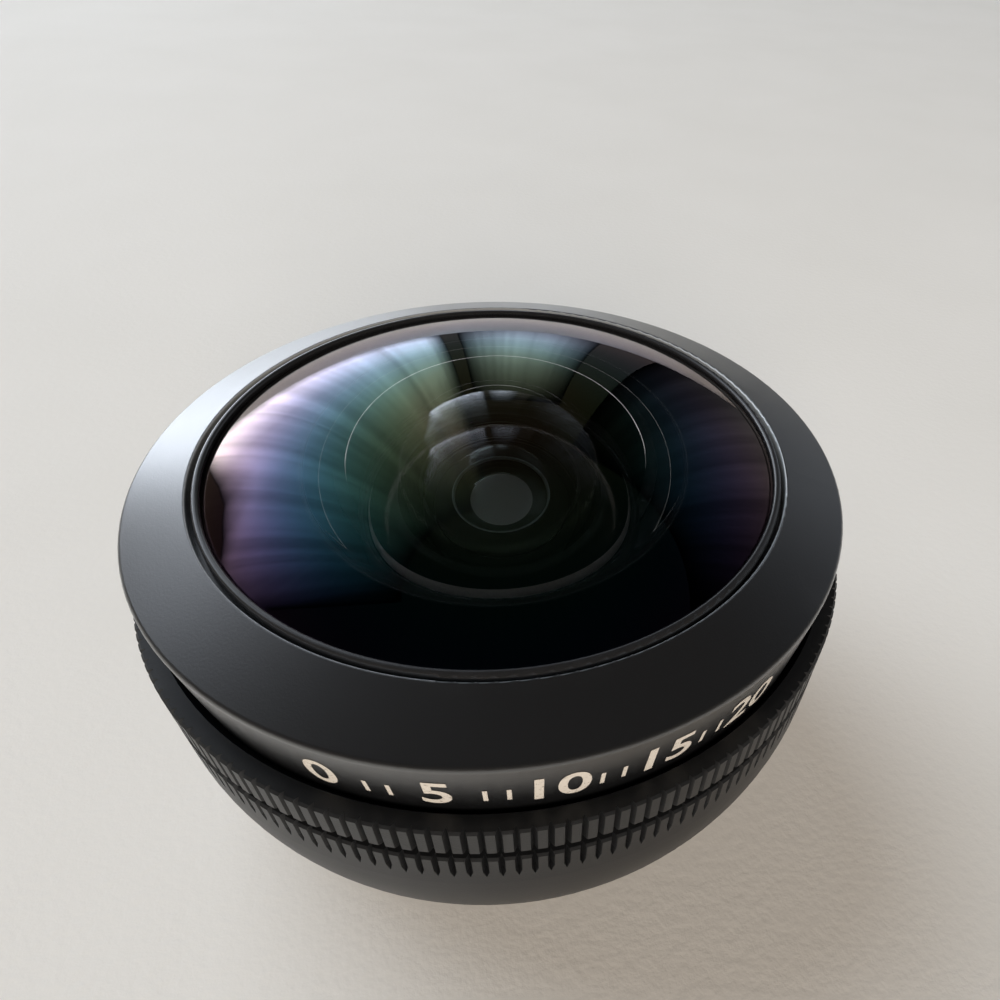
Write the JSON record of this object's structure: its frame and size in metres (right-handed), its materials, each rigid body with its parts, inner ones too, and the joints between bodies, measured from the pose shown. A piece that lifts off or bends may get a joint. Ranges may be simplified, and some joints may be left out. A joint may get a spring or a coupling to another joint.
{
  "type": "clip-on fisheye lens",
  "caption": "Round fisheye attachment lens with a glass dome in a conical bezel, two rows of grip teeth, a bowl-shaped rear and a short threaded mount.",
  "frame": {"origin": "on the optical axis at the rear face of the mount thread", "axes": "+Z along the optical axis, out through the dome; the pictured front is towards -Y"},
  "size_m": [0.0402, 0.0402, 0.0252],
  "materials": {
    "black_anodised": "fine-grained satin black anodising",
    "matte_black_metal": "matte black, anti-reflection",
    "black_rubber": "semi-gloss moulded rubber",
    "black_film": "matte black film",
    "coated_glass": "polished, anti-reflection coated, violet and green reflections",
    "inner_glass": "polished, anti-reflection coated, frosted edge"
  },
  "bodies": {
    "rear_half": {"rear_housing": "black_anodised", "mount_adapter": "black_anodised", "rear_lens_cell": "matte_black_metal", "cell_lock_ring": "matte_black_metal", "third_lens": "inner_glass", "third_lens_retainer": "matte_black_metal", "aperture_stop": "black_film", "stop_spacer": "matte_black_metal", "doublet_front_element": "inner_glass", "doublet_rear_element": "inner_glass", "rear_spacer": "matte_black_metal", "rear_lens": "inner_glass", "rear_retaining_ring": "matte_black_metal"},
    "seam_washer": {"seam_washer": "black_film"},
    "front_half": {"front_housing": "black_anodised", "front_bezel": "black_anodised", "dome_gasket": "black_rubber", "dome_lens": "coated_glass", "dome_seat_washer": "black_film", "second_lens": "inner_glass", "second_lens_retainer": "matte_black_metal", "joint_o_ring": "black_rubber"}
  },
  "joints": [
    {"name": "front_lift", "type": "slide", "parent": "rear_half", "child": "seam_washer", "axis": [0, 0, 1], "range_m": [0, 0.00225]},
    {"name": "front_turn", "type": "hinge", "parent": "seam_washer", "child": "front_half", "pos_m": [0, 0, 0.01465], "axis": [0, 0, 1], "range_deg": [0, 1080.5]}
  ],
  "couplings": [
    {"joint": "front_turn", "follows": "front_lift", "rad_per_m": 8377.6}
  ]
}
